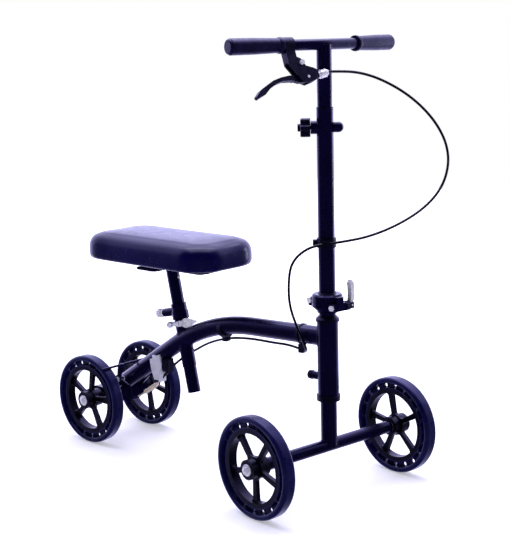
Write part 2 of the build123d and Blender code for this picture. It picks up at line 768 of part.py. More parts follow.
def bar_path():
    sweep_back = math.radians(BAR_SWEEP)
    back = -BAR_HALF * math.sin(sweep_back)
    wide = BAR_HALF * math.cos(sweep_back)
    inset = 0.985
    points = [
        (back * inset, -wide * inset, BAR_Z),
        (0, 0, BAR_Z),
        (back * inset, wide * inset, BAR_Z),
    ]
    return FilletPolyline(*points, radius=90)


def handlebar_tube():
    path = bar_path()
    plane = Plane(origin=path @ 0, z_dir=path % 0)
    return sweep(plane * Circle(BAR_R), path=path) - sweep(plane * Circle(BAR_R - 2), path=path)


def inner_post():
    """The height post, slotted for the clamp bolt and coped to the bar."""
    post = upright(INNER_R, INNER_LOW, BAR_Z)
    path = bar_path()
    plane = Plane(origin=path @ 0, z_dir=path % 0)
    post -= sweep(plane * Circle(BAR_R), path=path)
    post -= upright(INNER_IN_R, INNER_LOW - 1, BAR_Z - BAR_R - 4)
    slot_r = 3.8
    low = KNOB_Z - BAR_UP
    top = KNOB_Z + BAR_DOWN
    slot = across(slot_r, -30, 30, 0, low) + across(slot_r, -30, 30, 0, top)
    slot += block(-slot_r, slot_r, -30, 30, low, top)
    post -= clamp_turned(slot)
    return post.solids().sort_by(SortBy.VOLUME)[-1]


def grip(side):
    """A rubber grip: inner flange, tapered body and rounded closed end."""
    outline = [
        (0, GRIP_IN),
        (14.2, GRIP_IN),
        (14.6, GRIP_IN + 3),
        (14.2, GRIP_IN + 7),
        (12.9, GRIP_IN + 9),
        (13.1, GRIP_IN + 16),
        (14.3, GRIP_IN + 60),
        (GRIP_R, BAR_HALF - 12),
        (GRIP_R, BAR_HALF - 5),
        (12.5, BAR_HALF - 1),
        (10.5, BAR_HALF),
        (0, BAR_HALF),
    ]
    body = bar_frame(side) * turned(outline)
    path = bar_path()
    plane = Plane(origin=path @ 0, z_dir=path % 0)
    return body - sweep(plane * Circle(BAR_R), path=path)


def lever_plane():
    """The brake lever's plane: X along the right half of the bar, Y down and forward."""
    sweep_back = math.radians(BAR_SWEEP)
    tilt = math.radians(LEVER_TILT)
    out = Vector(-math.sin(sweep_back), -math.cos(sweep_back), 0)
    ahead = Vector(math.cos(sweep_back), -math.sin(sweep_back), 0)
    down = ahead * math.sin(tilt) + Vector(0, 0, -math.cos(tilt))
    return Plane(origin=(0, 0, BAR_Z), x_dir=out, z_dir=out.cross(down))


LEVER_PIVOT = (54, 61)
LEVER_SCREW = (62, 35)
BARREL_IN = (31, 57.3)
BARREL_OUT = (6, 52)


def lever_shape(points, half):
    """A plate in the lever's plane from (out, down) points."""
    return lever_plane() * extrude(make_face(Polyline(*points, close=True)), amount=half, both=True)


def lever_round(centre, radius, half):
    """A short cylinder square to the lever's plane."""
    return lever_plane() * Pos(centre[0], centre[1], 0) * Cylinder(radius, 2 * half)


def lever_bracket():
    """The clamp band and the arm that carries the pivot and the cable adjuster."""
    clamp = lever_plane() * Pos(79.75, 0, 0) * Rot(0, 90, 0) * Cylinder(14, 19.5)
    arm = [
        (89.5, 6),
        (89.5, 36),
        (79, 52),
        (72, 66),
        (57, 72.5),
        (40, 67.3),
        (32, 63.5),
        (31, 50.5),
        (40, 45.5),
        (55, 41),
        (62, 28),
        (70, 24),
        (70, 6),
    ]
    body = clamp + lever_shape(arm, 8)
    slot = [(100, 26), (80, 40), (64, 51.5), (44, 54.5), (44, 80), (100, 80)]
    body -= lever_shape(slot, 4.3)
    body -= lever_round(LEVER_PIVOT, 2.5, 20)
    body -= lever_round(LEVER_SCREW, 2.5, 20)
    start, end = barrel_line()
    way = (end - start).normalized()
    body -= lever_plane() * (rod(start - way * 12, end, 3.1) + rod(start, end, 8))
    return body - bar_half(-1, 40, 110, BAR_R)


def lever_hardware():
    """The lever's pivot pin, the clamp screw and the knurled adjuster of the cable."""
    pin = lever_round(LEVER_PIVOT, 2.5, 8.5)
    screw = lever_round(LEVER_SCREW, 2.5, 9)
    screw += lever_plane() * Pos(LEVER_SCREW[0], LEVER_SCREW[1], 9.5) * Cylinder(4.6, 3)
    screw += lever_plane() * Pos(LEVER_SCREW[0], LEVER_SCREW[1], -9.5) * Cylinder(4.6, 3)
    return Compound(children=[pin, screw, barrel_adjuster()])


def barrel_line():
    """The ends of the adjuster's axis in the lever's plane."""
    return Vector(BARREL_IN[0], BARREL_IN[1], 0), Vector(BARREL_OUT[0], BARREL_OUT[1], 0)


def barrel_adjuster():
    """The knurled adjuster that the cable comes out of."""
    start, end = barrel_line()
    way = (end - start).normalized()
    body = rod(start - way * 6, start, 3.1) + rod(start, end - way * 7, 3.8)
    body += rod(start + way * 1, start + way * 5, 6.2) + rod(start + way * 6, end - way * 6, 7.6)
    body += rod(end - way * 8, end - way * 1, 4.8)
    body = lever_plane() * body
    first = Vector(*CABLE_TOP_ROUTE[0])
    second = Vector(*CABLE_TOP_ROUTE[1])
    return body - rod(first, second, CABLE_R + 0.02)


def brake_lever():
    """The pull lever, from its slot in the bracket out to its rounded end."""
    blade = [
        (50, 57),
        (62, 55.5),
        (78, 57.0),
        (92, 57.0),
        (111, 60.0),
        (128, 65.0),
        (145, 74.0),
        (158, 81.5),
        (166.8, 90.6),
        (161, 93.6),
        (150, 89.5),
        (138, 79.5),
        (122, 71.0),
        (106, 66.5),
        (88, 66.5),
        (74, 70.0),
        (58, 70.0),
        (50, 66.0),
    ]
    root = lever_shape([(46, 58), (84, 57), (84, 66.8), (74, 70.0), (60, 70.5), (46, 64)], 4.0)
    handle = lever_shape(blade, 5.5)
    handle -= lever_shape([(30, 40), (84, 40), (84, 80), (30, 80)], 20)
    tip = lever_round((163.9, 92.1), 3.3, 5.5)
    body = root + handle + tip
    return body - lever_round(LEVER_PIVOT, 2.5 + RUN_CLEAR, 20)


# Seat


def seat_post():
    post = rod(seat_at(SEAT_LOW), seat_at(400), SEAT_R)
    post -= rod(seat_at(SEAT_LOW - 10), seat_at(384), SEAT_R - 2)
    return post - block(-600, -200, -50, 50, 390, 450)


def seat_plate():
    """The folded plate that carries the cushion's board."""
    spine = block(-500, -300, -32, 32, 390, 390 + PLATE_T)
    spine = fillet(spine.edges().filter_by(Axis.Z), 10)
    cross = block(-462, -402, -62, 62, 390, 390 + PLATE_T)
    cross = fillet(cross.edges().filter_by(Axis.Z), 10)
    body = spine + cross
    for x in (-486, -314):
        body += block(x - 10, x + 10, -26, 26, 394, PAD_LOW)
    for y in (-52, 52):
        body += block(-450, -414, min(y, y * 0.8), max(y, y * 0.8), 394, PAD_LOW)
    for x, y in screw_places():
        body -= upright(3, 380, 420, x, y)
    return body


def screw_places():
    return [(-486, 0), (-314, 0), (-432, -47), (-432, 47)]


def pad_screws():
    """The four screws that hold the board to the plate."""
    screws = []
    for x, y in screw_places():
        screws.append(upright(3, 390, PAD_LOW + BOARD_H - 2, x, y) + upright(5.5, 386.5, 390, x, y))
    return Compound(children=screws)


def pad_outline(inset):
    return RectangleRounded(PAD_L - 2 * inset, PAD_W - 2 * inset, PAD_CORNER - inset)


def pad_board():
    board = Pos(PAD_X, 0, PAD_LOW) * extrude(pad_outline(BOARD_INSET), amount=BOARD_H)
    for x, y in screw_places():
        board -= upright(3, PAD_LOW - 1, PAD_LOW + BOARD_H - 2, x, y)
    return board


def knee_pad():
    """The cushion, closed round the board that it is upholstered on."""
    pad = extrude(pad_outline(0), amount=PAD_TOP - PAD_LOW)
    pad = fillet(pad.edges().group_by(Axis.Z)[-1], PAD_EDGE)
    pad = fillet(pad.edges().group_by(Axis.Z)[0], PAD_EDGE / 3)
    pad = Pos(PAD_X, 0, PAD_LOW) * pad
    return pad - Pos(PAD_X, 0, PAD_LOW) * extrude(pad_outline(BOARD_INSET), amount=BOARD_H)


# Assembly

# Each wheel's place in X and Y, and the angles of its spokes and of its holes.
WHEELS = {
    "front_left": (0, FRONT_TRACK, 29, 0.3),
    "front_right": (0, -FRONT_TRACK, 55, 13.6),
    "rear_left": (-WHEELBASE, REAR_TRACK, 62, 10.5),
    "rear_right": (-WHEELBASE, -REAR_TRACK, 8, 17.2),
}

pieces = {
    "main_tube": main_tube(),
    "head_tube": head_tube(),
    "headset_cups": headset_cups(),
    "headset_bearings": headset_bearings(),
    "lock_housing": lock_housing(),
    "lock_pin": lock_pin(),
    "axle_housing": axle_housing(),
    "rear_axle": Pos(-WHEELBASE, 0, 0) * axle_set(REAR_TRACK, HOUSING_HALF, 7, 3.2),
    "frame_bolts": frame_bolts(),
    "brake_bar": brake_bar(),
    "brake_anchor": brake_anchor(),
    "pull_rod": pull_rod(),
    "seat_sleeve": seat_sleeve(),
    "seat_collar": seat_collar(),
    "seat_knob": seat_knob(),
    "seat_band": seat_band(),
    "seat_lever": seat_lever(),
    "cable_holders": cable_holders(),
    "cable_fork": cable_tube("cable_fork", CABLE_FORK_ROUTE),
    "cable_rear": cable_tube("cable_rear", CABLE_REAR_ROUTE),
    "seat_post": seat_post(),
    "seat_plate": seat_plate(),
    "pad_screws": pad_screws(),
    "pad_board": pad_board(),
    "knee_pad": knee_pad(),
    "steerer_tube": steered(steerer_tube()),
    "front_axle_tube": steered(front_axle_tube()),
    "front_axle": steered(axle_set(FRONT_TRACK, FRONT_TRACK - HUB_HALF - 1.6, 9, 4.4)),
    "lower_flange": steered(lower_flange()),
    "fold_bolts": steered(fold_bolts()),
    "cam_body": steered(cam_body()),
    "cam_lever": steered(cam_lever()),
    "upper_flange": steered(upper_flange()),
    "outer_post": steered(outer_post()),
    "post_bushing": steered(post_bushing()),
    "post_clip": steered(post_clip()),
    "dome_nut": steered(dome_nut()),
    "star_knob": steered(star_knob()),
    "cable_top": steered(cable_tube("cable_top", CABLE_TOP_ROUTE)),
    "cable_stem": steered(cable_tube("cable_stem", CABLE_STEM_ROUTE)),
    "inner_post": steered(inner_post()),
    "handlebar_tube": steered(handlebar_tube()),
    "grip_left": steered(grip(1)),
    "grip_right": steered(grip(-1)),
    "lever_bracket": steered(lever_bracket()),
    "lever_hardware": steered(lever_hardware()),
    "brake_lever": steered(brake_lever()),
}

for name, (x, y, spoke_angle, hole_angle) in WHEELS.items():
    place = Pos(x, y, WHEEL_R)
    turn = steered if x == 0 else lambda shape: shape
    pieces["rim_" + name] = turn(place * Rot(0, -spoke_angle, 0) * rim())
    pieces["tyre_" + name] = turn(place * Rot(0, -hole_angle, 0) * tyre())
    pieces["bearings_" + name] = turn(place * wheel_bearings())

# The origin goes to the centre of the footprint.
boxes = [piece.bounding_box() for piece in pieces.values()]
back = min(box.min.X for box in boxes)
front = max(box.max.X for box in boxes)
centre_x = (back + front) / 2
print("length", round(front - back, 1), "width", round(max(box.max.Y for box in boxes), 2))
print("steering axis at x", round(-centre_x, 3))

os.makedirs("parts", exist_ok=True)
for name, piece in pieces.items():
    export_step(Pos(-centre_x, 0, 0) * piece, "parts/" + name + ".step")
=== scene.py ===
import math

import bpy
import numpy as np
from mathutils import Matrix, Vector, noise


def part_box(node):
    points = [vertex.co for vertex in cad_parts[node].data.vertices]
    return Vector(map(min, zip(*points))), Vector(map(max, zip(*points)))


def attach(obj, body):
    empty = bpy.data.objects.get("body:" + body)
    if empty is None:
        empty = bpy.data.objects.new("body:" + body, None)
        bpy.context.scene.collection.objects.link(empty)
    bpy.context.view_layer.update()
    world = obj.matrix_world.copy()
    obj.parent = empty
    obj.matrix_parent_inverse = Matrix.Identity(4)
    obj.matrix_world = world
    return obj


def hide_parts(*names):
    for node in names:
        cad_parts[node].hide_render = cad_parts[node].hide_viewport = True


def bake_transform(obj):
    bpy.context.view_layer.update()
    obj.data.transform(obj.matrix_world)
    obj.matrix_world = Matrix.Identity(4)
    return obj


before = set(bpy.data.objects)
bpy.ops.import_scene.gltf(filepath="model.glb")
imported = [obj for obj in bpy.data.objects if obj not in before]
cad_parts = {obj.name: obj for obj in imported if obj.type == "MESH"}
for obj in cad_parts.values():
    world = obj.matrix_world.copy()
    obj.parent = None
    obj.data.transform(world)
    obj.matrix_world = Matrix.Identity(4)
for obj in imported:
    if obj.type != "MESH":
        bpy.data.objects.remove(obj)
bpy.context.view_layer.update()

MM = 0.001

# The least length that anything is divided by.
NO_LENGTH = 1e-9


def middle(node):
    """The centre of a CAD node's box."""
    low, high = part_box(node)
    return (low + high) / 2


# The steering axis stands in the head tube. The handlebar assembly is turned a little to the right at rest.
STEER_AXIS = Vector((middle("head_tube").x, 0, 0))
STEER_REST = math.radians(-6.34)
FRAME_PLACE = Matrix.Translation(STEER_AXIS)
STEER_PLACE = FRAME_PLACE @ Matrix.Rotation(STEER_REST, 4, "Z")


# Materials


# Nearly all of a noise node's values lie between these.
NOISE_LOW = 0.3
NOISE_HIGH = 0.7


def set_value(node, socket, value):
    """Sets a uniform value on a node's own socket."""
    node.inputs[socket].default_value = value


class Finish:
    """A Principled material with helpers that add its procedural detail."""

    def __init__(self, name, colour, roughness, metallic=0.0):
        self.material = bpy.data.materials.new(name)
        self.material.use_nodes = True
        self.nodes = self.material.node_tree.nodes
        self.links = self.material.node_tree.links
        self.shader = self.nodes["Principled BSDF"]
        set_value(self.shader, "Base Color", (*colour, 1))
        set_value(self.shader, "Roughness", roughness)
        set_value(self.shader, "Metallic", metallic)
        self.place = self.nodes.new("ShaderNodeTexCoord").outputs["Object"]
        self.normal = None

    def set(self, **values):
        """Sets sockets by name, with _ for a space."""
        for socket, value in values.items():
            set_value(self.shader, socket.replace("_", " "), value)
        return self

    def stretched(self, scale):
        """The object coordinates scaled along each axis."""
        mapping = self.nodes.new("ShaderNodeMapping")
        set_value(mapping, "Scale", scale)
        self.links.new(self.place, mapping.inputs["Vector"])
        return mapping.outputs["Vector"]

    def noise(self, scale, detail=3.0, rough=0.5, place=None):
        """Cloudy noise, with about scale features to the metre."""
        node = self.nodes.new("ShaderNodeTexNoise")
        set_value(node, "Scale", scale)
        set_value(node, "Detail", detail)
        set_value(node, "Roughness", rough)
        self.links.new(place or self.place, node.inputs["Vector"])
        return node.outputs["Fac"]

    def cells(self, scale):
        """The distance from the edges of a cell pattern."""
        node = self.nodes.new("ShaderNodeTexVoronoi")
        node.feature = "DISTANCE_TO_EDGE"
        set_value(node, "Scale", scale)
        self.links.new(self.place, node.inputs["Vector"])
        return node.outputs["Distance"]

    def ramp(self, source, low, high, out_low, out_high):
        """A source's span from low to high, spread over another span."""
        node = self.nodes.new("ShaderNodeMapRange")
        for socket, value in (
            ("From Min", low),
            ("From Max", high),
            ("To Min", out_low),
            ("To Max", out_high),
        ):
            set_value(node, socket, value)
        self.links.new(source, node.inputs["Value"])
        return node.outputs["Result"]

    def vary_roughness(self, source, low, high):
        spread = self.ramp(source, NOISE_LOW, NOISE_HIGH, low, high)
        self.links.new(spread, self.shader.inputs["Roughness"])
        return self

    def vary_colour(self, source, first, second):
        node = self.nodes.new("ShaderNodeMix")
        node.data_type = "RGBA"
        node.inputs["A"].default_value = (*first, 1)
        node.inputs["B"].default_value = (*second, 1)
        self.links.new(self.ramp(source, NOISE_LOW, NOISE_HIGH, 0, 1), node.inputs["Factor"])
        self.links.new(node.outputs["Result"], self.shader.inputs["Base Color"])
        return self

    def bump(self, source, strength, distance):
        """Relief from a source, on top of any relief given before."""
        node = self.nodes.new("ShaderNodeBump")
        set_value(node, "Strength", strength)
        set_value(node, "Distance", distance)
        self.links.new(source, node.inputs["Height"])
        if self.normal:
            self.links.new(self.normal, node.inputs["Normal"])
        self.normal = node.outputs["Normal"]
        self.links.new(self.normal, self.shader.inputs["Normal"])
        return self


# The tint of what the dark paints and plastics reflect.
LAVENDER = (0.42, 0.36, 1.0, 1)


def frame_paint():
    """Gloss powder coat, near-black navy, with its orange peel."""
    finish = Finish("frame_paint", (0.0016, 0.001, 0.014), 0.22)
    finish.set(Specular_Tint=LAVENDER, Specular_IOR_Level=0.45)
    finish.vary_colour(finish.noise(14), (0.0012, 0.0008, 0.011), (0.0024, 0.0015, 0.02))
    finish.vary_roughness(finish.noise(60), 0.18, 0.26)
    return finish.bump(finish.noise(520, 2), 0.06, 0.0002)


def black_plastic():
    """Moulded black plastic with a fine eroded grain."""
    finish = Finish("black_plastic", (0.002, 0.0015, 0.007), 0.42)
    finish.set(Specular_Tint=LAVENDER)
    finish.vary_roughness(finish.noise(90), 0.34, 0.5)
    finish.vary_colour(finish.noise(30), (0.0015, 0.001, 0.006), (0.003, 0.0025, 0.01))
    return finish.bump(finish.noise(1600, 2), 0.2, 0.0002)


def rim_plastic():
    """Glass-filled nylon of the rims."""
    finish = Finish("rim_plastic", (0.001, 0.0006, 0.003), 0.42)
    finish.set(Specular_Tint=LAVENDER, Specular_IOR_Level=0.35)
    finish.vary_roughness(finish.noise(45), 0.3, 0.48)
    finish.vary_colour(finish.noise(22), (0.0008, 0.0005, 0.002), (0.0015, 0.001, 0.004))
    return finish.bump(finish.noise(900, 2), 0.15, 0.0002)


def tyre():
    """Smooth solid polyurethane, dark navy, a little cloudy, with scuffs from the floor."""
    finish = Finish("tyre", (0.003, 0.0025, 0.04), 0.3)
    finish.set(Specular_Tint=(0.42, 0.4, 1.0, 1), Specular_IOR_Level=0.45)
    finish.vary_colour(finish.noise(18, 4), (0.0022, 0.002, 0.032), (0.006, 0.0055, 0.055))
    finish.vary_roughness(finish.noise(70, 5), 0.24, 0.42)
    return finish.bump(finish.noise(240, 4), 0.1, 0.0004)


STEEL_METALLIC = 0.35
STEEL_SHADE = 0.82


def steel(name, colour, roughness):
    """Plated or ground steel with fine marks."""
    finish = Finish(name, colour, roughness, STEEL_METALLIC)
    fine = finish.noise(240, 4, 0.6)
    finish.vary_roughness(fine, roughness * 0.75, roughness * 1.3)
    shade = tuple(channel * STEEL_SHADE for channel in colour)
    finish.vary_colour(finish.noise(55, 4), shade, colour)
    return finish.bump(fine, 0.15, 0.0001)


def grip_rubber():
    """Satin rubber with a fine pebble."""
    finish = Finish("grip_rubber", (0.003, 0.002, 0.02), 0.38)
    finish.set(Specular_Tint=LAVENDER)
    finish.vary_roughness(finish.noise(120, 4), 0.3, 0.46)
    finish.vary_colour(finish.noise(35), (0.0025, 0.0018, 0.016), (0.005, 0.004, 0.026))
    return finish.bump(finish.cells(900), 0.35, 0.0003)


def pad_cover():
    """Coated vinyl with a leather grain."""
    finish = Finish("pad_cover", (0.002, 0.0008, 0.036), 0.24)
    finish.set(Specular_Tint=(0.72, 0.7, 1.0, 1), Specular_IOR_Level=0.36)
    finish.vary_colour(finish.noise(9, 4), (0.0012, 0.0005, 0.028), (0.0026, 0.0012, 0.044))
    finish.vary_roughness(finish.noise(60, 4), 0.2, 0.28)
    finish.bump(finish.cells(620), 0.1, 0.0002)
    return finish.bump(finish.noise(1500, 2), 0.04, 0.0001)


def board_wood():
    """Raw plywood."""
    finish = Finish("board_wood", (0.45, 0.33, 0.2), 0.7)
    grain = finish.noise(30, 6, 0.6, finish.stretched((0.6, 9, 30)))
    finish.vary_colour(grain, (0.3, 0.19, 0.1), (0.52, 0.38, 0.23))
    return finish.bump(grain, 0.3, 0.0005)


def cable_casing():
    """Gloss black vinyl casing."""
    finish = Finish("cable_casing", (0.002, 0.0015, 0.004), 0.28)
    finish.vary_roughness(finish.noise(140, 3), 0.2, 0.38)
    finish.vary_colour(finish.noise(40), (0.0015, 0.001, 0.003), (0.003, 0.0025, 0.006))
    return finish.bump(finish.noise(800, 2), 0.08, 0.0002)


FINISHES = {
    "frame_paint": frame_paint(),
    "black_plastic": black_plastic(),
    "rim_plastic": rim_plastic(),
    "tyre": tyre(),
    "bearing_steel": steel("bearing_steel", (0.55, 0.55, 0.6), 0.25),
    "zinc_steel": steel("zinc_steel", (0.95, 0.94, 1.0), 0.4),
    "chrome": steel("chrome", (1.0, 0.99, 1.0), 0.3),
    "spring_steel": steel("spring_steel", (0.95, 0.85, 0.68), 0.45),
    "grip_rubber": grip_rubber(),
    "pad_cover": pad_cover(),
    "board_wood": board_wood(),
    "cable_casing": cable_casing(),
}


def finish_node(node):
    """Gives a CAD node the procedural material of its slot."""
    for index, material in enumerate(node.data.materials):
        node.data.materials[index] = FINISHES[material.name.split(".")[0]].material


# The materials that the model came with give way to the procedural ones of the same names.
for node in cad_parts.values():
    finish_node(node)


# Building blocks


def add_piece(name, mesh, slot, body=None):
    """Links a mesh as a piece with its slot's material, and lets it ride."""
    piece = bpy.data.objects.new(name, mesh)
    bpy.context.scene.collection.objects.link(piece)
    mesh.materials.clear()
    mesh.materials.append(FINISHES[slot].material)
    if body:
        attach(piece, body)
    return piece


def smooth(mesh):
    """Shades a mesh's faces as one smooth skin."""
    mesh.polygons.foreach_set("use_smooth", [True] * len(mesh.polygons))


def tube_rings(points, radii, sides, closed=False):
    """Vertices and faces of a round tube through points, with a radius at each."""
    points = [Vector(point) for point in points]
    count = len(points)
    tangents = []
    for index in range(count):
        after = points[(index + 1) % count] if closed or index < count - 1 else points[index]
        before = points[index - 1] if closed or index > 0 else points[index]
        tangents.append((after - before).normalized())
    side = tangents[0].orthogonal().normalized()
    vertices, faces = [], []
    for index, (point, tangent) in enumerate(zip(points, tangents)):
        side = (side - tangent * side.dot(tangent)).normalized()
        across = tangent.cross(side)
        for turn in range(sides):
            angle = 2 * math.pi * turn / sides
            offset = side * math.cos(angle) + across * math.sin(angle)
            vertices.append(point + offset * radii[index])
    for index in range(count if closed else count - 1):
        following = (index + 1) % count
        for turn in range(sides):
            beside = (turn + 1) % sides
            faces.append((
                index * sides + turn,
                index * sides + beside,
                following * sides + beside,
                following * sides + turn,
            ))
    if not closed:
        faces.append(tuple(reversed(range(sides))))
        faces.append(tuple(range((count - 1) * sides, count * sides)))
    return vertices, faces


def mesh_of(name, parts):
    """One mesh from several (vertices, faces) pairs."""
    vertices, faces = [], []
    for part_vertices, part_faces in parts:
        first = len(vertices)
        vertices += part_vertices
        faces += [tuple(first + corner for corner in face) for face in part_faces]
    mesh = bpy.data.meshes.new(name)
    mesh.from_pydata([tuple(vertex) for vertex in vertices], [], faces)
    mesh.validate()
    smooth(mesh)
    return mesh


# Brake cable

CABLE_R = 2.5 * MM
CABLE_SPLINE_ORDER = 3
CABLE_SPLINE_STEPS = 8
CABLE_BEVEL_STEPS = 5

CABLE_TOP_ROUTE = [
    (0.018, -0.008, 0.7885),
    (0.019, 0.029, 0.788),
    (0.022, 0.069, 0.784),
    (0.031, 0.109, 0.772),
    (0.048, 0.150, 0.749),
    (0.067, 0.180, 0.721),
    (0.087, 0.200, 0.688),
    (0.102, 0.212, 0.650),
    (0.106, 0.214, 0.610),
    (0.101, 0.199, 0.567),
    (0.090, 0.161, 0.532),
    (0.074, 0.106, 0.506),
    (0.054, 0.055, 0.490),
    (0.034, 0.013, 0.484),
    (0.0145, -0.0138, 0.4805),
]
CABLE_STEM_ROUTE = [
    (0.0145, -0.0138, 0.4805),
    (0.0025, -0.0303, 0.47835),
    (-0.014, -0.043, 0.469),
    (-0.037, -0.046, 0.451),
    (-0.053, -0.045, 0.427),
    (-0.0585, -0.0418, 0.402),
]
CABLE_FORK_ROUTE = [
    (-0.06278, -0.03507, 0.4019),
    (-0.06706, -0.0319, 0.381),
    (-0.064, -0.030, 0.352),
    (-0.054, -0.026, 0.322),
    (-0.042, -0.0235, 0.298),
    (-0.037, -0.020, 0.281),
    (-0.0492, -0.0033, 0.26824),
    (-0.066, -0.002, 0.2705),
]
CABLE_REAR_ROUTE = [
    (-0.066, -0.002, 0.2705),
    (-0.092, 0.0, 0.274),
    (-0.136, 0.0, 0.2718),
    (-0.186, 0.0, 0.2715),
    (-0.230, 0.001, 0.2675),
    (-0.268, 0.003, 0.260),
    (-0.304, 0.009, 0.249),
    (-0.340, 0.017, 0.235),
    (-0.376, 0.021, 0.216),
    (-0.408, 0.015, 0.197),
    (-0.430, -0.002, 0.173),
    (-0.441, -0.017, 0.152),
]


def cable(name, node, route, place):
    """A span of the casing on one smooth curve through its route's control points."""
    curve = bpy.data.curves.new(name, "CURVE")
    curve.dimensions = "3D"
    spline = curve.splines.new("NURBS")
    spline.points.add(len(route) - 1)
    for control, point in zip(spline.points, route):
        control.co = (*(place @ Vector(point)), 1)
    spline.order_u = CABLE_SPLINE_ORDER
    spline.use_endpoint_u = True
    spline.resolution_u = CABLE_SPLINE_STEPS
    curve.bevel_depth = CABLE_R
    curve.bevel_resolution = CABLE_BEVEL_STEPS
    curve.use_fill_caps = True
    source = bpy.data.objects.new(name + "_curve", curve)
    bpy.context.scene.collection.objects.link(source)
    bpy.context.view_layer.update()
    depsgraph = bpy.context.evaluated_depsgraph_get()
    mesh = bpy.data.meshes.new_from_object(source.evaluated_get(depsgraph))
    bpy.data.objects.remove(source)
    mesh.name = name
    smooth(mesh)
    piece = add_piece(name, mesh, "cable_casing")
    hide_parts(node)
    return piece


cable_top = cable("brake_cable_top", "cable_top", CABLE_TOP_ROUTE, STEER_PLACE)
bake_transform(cable_top)
cable_stem = cable("brake_cable_stem", "cable_stem", CABLE_STEM_ROUTE, STEER_PLACE)
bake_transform(cable_stem)
cable_fork = cable("brake_cable_fork", "cable_fork", CABLE_FORK_ROUTE, FRAME_PLACE)
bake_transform(cable_fork)
cable_rear = cable("brake_cable_rear", "cable_rear", CABLE_REAR_ROUTE, FRAME_PLACE)
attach(cable_rear, "frame")


# Knee pad

PAD_LOW, PAD_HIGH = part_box("knee_pad")
PAD_MIDDLE = (PAD_LOW + PAD_HIGH) / 2
PAD_HALF = (PAD_HIGH - PAD_LOW) / 2
PAD_CORNER_R = 58 * MM
PAD_LEAST_CORNER_R = 10 * MM
PAD_CORNER_POINTS = 12

# How far each layer of the form stands in from the outline, and its height above the underside.
PAD_LAYERS = [
    (8 * MM, 0.0),
    (0.5 * MM, 1.5 * MM),
    (-2 * MM, 8 * MM),
    (-2 * MM, 28 * MM),
    (0.5 * MM, 38 * MM),
    (6 * MM, 45 * MM),
    (14 * MM, 49 * MM),
    (28 * MM, 51.5 * MM),
]

# The cover is swollen as cloth. No vertex moves further than the cap, and its moves are evened out after.
PAD_VOXEL = 5 * MM
PAD_PRESSURE = 4.0
PAD_CAP = 6 * MM
PAD_HELD_HEIGHT = 3 * MM
PAD_EVENING_ROUNDS = 60
CLOTH_FRAMES = 20
CLOTH_QUALITY = 6


def pad_outline(inset):
    """Points round a rounded rectangle, the pad's outline moved in."""
    corner = max(PAD_CORNER_R - inset, PAD_LEAST_CORNER_R)
    wide = PAD_HALF.x - inset
    deep = PAD_HALF.y - inset
    points = []
    for quarter in range(4):
        sign_x = 1 if quarter in (0, 3) else -1
        sign_y = 1 if quarter in (0, 1) else -1
        for step in range(PAD_CORNER_POINTS):
            angle = math.pi / 2 * (quarter + step / (PAD_CORNER_POINTS - 1))
            points.append((
                sign_x * (wide - corner) + corner * math.cos(angle),
                sign_y * (deep - corner) + corner * math.sin(angle),
            ))
    return points


def pad_form():
    """The closed form that the cover starts from, near its final size."""
    vertices, faces = [], []
    for inset, height in PAD_LAYERS:
        for x, y in pad_outline(inset):
            vertices.append((PAD_MIDDLE.x + x, PAD_MIDDLE.y + y, PAD_LOW.z + height))
    ring = 4 * PAD_CORNER_POINTS
    for layer in range(len(PAD_LAYERS) - 1):
        for turn in range(ring):
            beside = (turn + 1) % ring
            faces.append((
                layer * ring + turn,
                layer * ring + beside,
                (layer + 1) * ring + beside,
                (layer + 1) * ring + turn,
            ))
    faces.append(tuple(reversed(range(ring))))
    faces.append(tuple(range((len(PAD_LAYERS) - 1) * ring, len(PAD_LAYERS) * ring)))
    mesh = bpy.data.meshes.new("knee_pad_cover")
    mesh.from_pydata(vertices, [], faces)
    return mesh


def evened(mesh, moves):
    """The vertices' moves, each averaged with its neighbours' over and over."""
    ends = np.array([edge.vertices for edge in mesh.edges])
    count = np.bincount(ends.ravel(), minlength=len(moves))[:, None] + 1
    for _ in range(PAD_EVENING_ROUNDS):
        total = moves.copy()
        np.add.at(total, ends[:, 0], moves[ends[:, 1]])
        np.add.at(total, ends[:, 1], moves[ends[:, 0]])
        moves = total / count
    return moves


def inflate(piece):
    """Swells the cover as cloth under pressure, its underside held, and keeps the result."""
    held = piece.vertex_groups.new(name="held")
    low = PAD_LOW.z + PAD_HELD_HEIGHT
    held.add([v.index for v in piece.data.vertices if v.co.z < low], 1.0, "REPLACE")
    rest = np.array([v.co for v in piece.data.vertices])
    cloth = piece.modifiers.new("cloth", "CLOTH")
    cloth.settings.use_pressure = True
    cloth.settings.uniform_pressure_force = PAD_PRESSURE
    cloth.settings.vertex_group_mass = "held"
    cloth.settings.effector_weights.gravity = 0
    cloth.settings.quality = CLOTH_QUALITY
    scene = bpy.context.scene
    for step in range(CLOTH_FRAMES):
        scene.frame_set(step + 1)
    depsgraph = bpy.context.evaluated_depsgraph_get()
    swollen = bpy.data.meshes.new_from_object(piece.evaluated_get(depsgraph))
    places = np.array([v.co for v in swollen.vertices])
    moves = places - rest
    lengths = np.maximum(np.linalg.norm(moves, axis=1), NO_LENGTH)
    moves = evened(swollen, moves * np.minimum(1, PAD_CAP / lengths)[:, None])
    places = rest + moves
    swollen.vertices.foreach_set("co", places.ravel())
    piece.modifiers.clear()
    piece.vertex_groups.clear()
    piece.data = swollen
    scene.frame_set(1)


def remesh(piece):
    """Gives the cover an even mesh."""
    modifier = piece.modifiers.new("remesh", "REMESH")
    modifier.mode = "VOXEL"
    modifier.voxel_size = PAD_VOXEL
    depsgraph = bpy.context.evaluated_depsgraph_get()
    even = bpy.data.meshes.new_from_object(piece.evaluated_get(depsgraph))
    piece.modifiers.clear()
    piece.data = even


